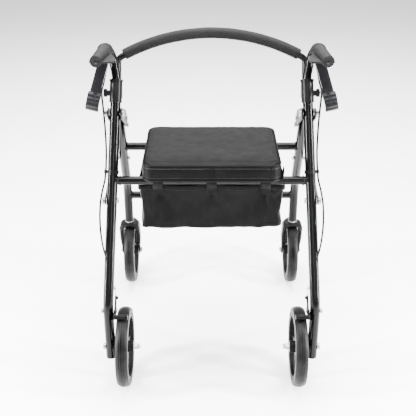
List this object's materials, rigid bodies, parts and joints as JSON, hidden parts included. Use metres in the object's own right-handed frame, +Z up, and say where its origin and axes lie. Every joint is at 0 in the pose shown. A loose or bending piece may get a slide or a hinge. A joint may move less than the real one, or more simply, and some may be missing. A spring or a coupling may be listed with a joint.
{
  "type": "rollator walker",
  "caption": "Folding rollator walker with a padded flip-up seat, arched foam backrest, loop brakes, height-adjustable handles, swivel casters and a soft bag under the seat.",
  "frame": {"origin": "on the floor under the middle of the wheelbase and of the width", "axes": "+X to the user's right, +Y forward (towards the casters), +Z up"},
  "size_m": [0.5882, 0.7112, 0.8477],
  "materials": {
    "tube_black": "gloss",
    "bracket_steel": "satin",
    "bolt_steel": "satin",
    "bright_chrome": "polished",
    "black_plastic": "satin",
    "lever_plastic": "satin",
    "bush_plastic": "matte",
    "grip_rubber": "matte",
    "cable_casing": "satin",
    "tyre_rubber": "matte",
    "rim_plastic": "satin",
    "seat_leather": "satin",
    "seat_panel": "matte",
    "bag_fabric": "matte",
    "foam_rubber": "matte"
  },
  "bodies": {
    "rear_frame": {"rear_leg_left": "tube_black", "rear_leg_right": "tube_black", "rear_crossbar": "tube_black", "rear_leg_plugs": "black_plastic", "height_collars": "black_plastic", "cable_clips": "black_plastic", "rear_frame_bolts": "bolt_steel", "rear_axles": "bolt_steel", "storage_bag": "bag_fabric", "bag_loops": "bag_fabric", "brake_cable_left": "cable_casing", "brake_cable_right": "cable_casing"},
    "front_frame": {"front_leg_left": "tube_black", "front_leg_right": "tube_black", "front_crossbars": "tube_black", "pivot_brackets": "bracket_steel", "front_frame_bolts": "bolt_steel", "front_leg_plugs": "black_plastic", "caster_bushings": "bush_plastic"},
    "seat": {"seat_board": "seat_panel", "seat_cushion": "seat_leather", "seat_fittings": "bracket_steel"},
    "backrest": {"backrest_tube": "tube_black", "backrest_foam": "foam_rubber"},
    "left_rear_link": {"rear_link_left": "tube_black"},
    "left_front_link": {"front_link_left": "tube_black"},
    "left_rear_wheel": {"rear_tyre_left": "tyre_rubber", "rear_rim_left": "rim_plastic", "rear_bearings_left": "bolt_steel"},
    "left_caster": {"caster_fork_left": "bracket_steel", "caster_stem_left": "bright_chrome", "front_axle_left": "bolt_steel"},
    "left_front_wheel": {"front_tyre_left": "tyre_rubber", "front_rim_left": "rim_plastic", "front_bearings_left": "bolt_steel"},
    "left_handle": {"handle_tube_left": "tube_black", "grip_left": "grip_rubber", "brake_housing_left": "black_plastic"},
    "left_brake_lever": {"brake_lever_left": "lever_plastic"},
    "left_height_knob": {"height_knob_left": "black_plastic"},
    "left_brake_arm": {"brake_arm_left": "bracket_steel"},
    "right_rear_link": {"rear_link_right": "tube_black"},
    "right_front_link": {"front_link_right": "tube_black"},
    "right_rear_wheel": {"rear_tyre_right": "tyre_rubber", "rear_rim_right": "rim_plastic", "rear_bearings_right": "bolt_steel"},
    "right_caster": {"caster_fork_right": "bracket_steel", "caster_stem_right": "bright_chrome", "front_axle_right": "bolt_steel"},
    "right_front_wheel": {"front_tyre_right": "tyre_rubber", "front_rim_right": "rim_plastic", "front_bearings_right": "bolt_steel"},
    "right_handle": {"handle_tube_right": "tube_black", "grip_right": "grip_rubber", "brake_housing_right": "black_plastic"},
    "right_brake_lever": {"brake_lever_right": "lever_plastic"},
    "right_height_knob": {"height_knob_right": "black_plastic"},
    "right_brake_arm": {"brake_arm_right": "bracket_steel"}
  },
  "joints": [
    {"name": "frame_fold", "type": "hinge", "parent": "rear_frame", "child": "front_frame", "pos_m": [0, -0.06391, 0.658], "axis": [-1, 0, 0], "range_deg": [0, 24], "deforming": ["storage_bag", "bag_loops"]},
    {"name": "seat_lift", "type": "hinge", "parent": "front_frame", "child": "seat", "pos_m": [0, 0.1003, 0.508], "axis": [-1, 0, 0], "range_deg": [0, 85]},
    {"name": "backrest_lift", "type": "slide", "parent": "rear_frame", "child": "backrest", "axis": [0, 0.3981, 0.9173], "range_m": [0, 0.034]},
    {"name": "rear_link_left_turn", "type": "hinge", "parent": "rear_frame", "child": "left_rear_link", "pos_m": [-0.24574, -0.14897, 0.462], "axis": [1, 0, 0], "range_deg": [0, 17]},
    {"name": "front_link_left_turn", "type": "hinge", "parent": "front_frame", "child": "left_front_link", "pos_m": [-0.24327, 0.1325, 0.462], "axis": [-1, 0, 0], "range_deg": [0, 31]},
    {"name": "handle_left_height", "type": "slide", "parent": "rear_frame", "child": "left_handle", "axis": [0.0419, 0.3978, 0.9165], "range_m": [0, 0.125], "deforming": ["brake_cable_left"]},
    {"name": "height_knob_left_turn", "type": "hinge", "parent": "rear_frame", "child": "left_height_knob", "pos_m": [-0.23468, -0.04394, 0.704], "axis": [1, 0, 0], "continuous": true},
    {"name": "brake_lever_left_squeeze", "type": "hinge", "parent": "left_handle", "child": "left_brake_lever", "pos_m": [-0.25944, -0.05079, 0.7841], "axis": [-0.9724, 0, 0.2334], "range_deg": [0, 18], "stiffness_Nm_per_rad": 1.2, "springref_deg": -11.46},
    {"name": "brake_arm_left_turn", "type": "hinge", "parent": "rear_frame", "child": "left_brake_arm", "pos_m": [-0.2392, -0.254, 0.209], "axis": [1, 0, 0], "range_deg": [0, 5]},
    {"name": "rear_wheel_left_spin", "type": "hinge", "parent": "rear_frame", "child": "left_rear_wheel", "pos_m": [-0.22, -0.254, 0.1016], "axis": [1, 0, 0], "continuous": true},
    {"name": "caster_left_swivel", "type": "hinge", "parent": "front_frame", "child": "left_caster", "pos_m": [-0.248, 0.227, 0.21], "axis": [0, 0, 1], "continuous": true},
    {"name": "front_wheel_left_spin", "type": "hinge", "parent": "left_caster", "child": "left_front_wheel", "pos_m": [-0.248, 0.254, 0.1016], "axis": [1, 0, 0], "continuous": true},
    {"name": "rear_link_right_turn", "type": "hinge", "parent": "rear_frame", "child": "right_rear_link", "pos_m": [0.24574, -0.14897, 0.462], "axis": [1, 0, 0], "range_deg": [0, 17]},
    {"name": "front_link_right_turn", "type": "hinge", "parent": "front_frame", "child": "right_front_link", "pos_m": [0.24327, 0.1325, 0.462], "axis": [-1, 0, 0], "range_deg": [0, 31]},
    {"name": "handle_right_height", "type": "slide", "parent": "rear_frame", "child": "right_handle", "axis": [-0.0419, 0.3978, 0.9165], "range_m": [0, 0.125], "deforming": ["brake_cable_right"]},
    {"name": "height_knob_right_turn", "type": "hinge", "parent": "rear_frame", "child": "right_height_knob", "pos_m": [0.23468, -0.04394, 0.704], "axis": [1, 0, 0], "continuous": true},
    {"name": "brake_lever_right_squeeze", "type": "hinge", "parent": "right_handle", "child": "right_brake_lever", "pos_m": [0.25944, -0.05079, 0.7841], "axis": [-0.9724, 0, -0.2334], "range_deg": [0, 18], "stiffness_Nm_per_rad": 1.2, "springref_deg": -11.46},
    {"name": "brake_arm_right_turn", "type": "hinge", "parent": "rear_frame", "child": "right_brake_arm", "pos_m": [0.2392, -0.254, 0.209], "axis": [1, 0, 0], "range_deg": [0, 5]},
    {"name": "rear_wheel_right_spin", "type": "hinge", "parent": "rear_frame", "child": "right_rear_wheel", "pos_m": [0.22, -0.254, 0.1016], "axis": [1, 0, 0], "continuous": true},
    {"name": "caster_right_swivel", "type": "hinge", "parent": "front_frame", "child": "right_caster", "pos_m": [0.248, 0.227, 0.21], "axis": [0, 0, 1], "continuous": true},
    {"name": "front_wheel_right_spin", "type": "hinge", "parent": "right_caster", "child": "right_front_wheel", "pos_m": [0.248, 0.254, 0.1016], "axis": [1, 0, 0], "continuous": true}
  ],
  "couplings": [
    {"joint": "rear_link_left_turn", "follows": "frame_fold", "ratio": 0.68647},
    {"joint": "front_link_left_turn", "follows": "frame_fold", "ratio": 1.2541},
    {"joint": "brake_arm_left_turn", "follows": "brake_lever_left_squeeze", "ratio": 0.27},
    {"joint": "rear_link_right_turn", "follows": "frame_fold", "ratio": 0.68647},
    {"joint": "front_link_right_turn", "follows": "frame_fold", "ratio": 1.2541},
    {"joint": "brake_arm_right_turn", "follows": "brake_lever_right_squeeze", "ratio": 0.27}
  ]
}
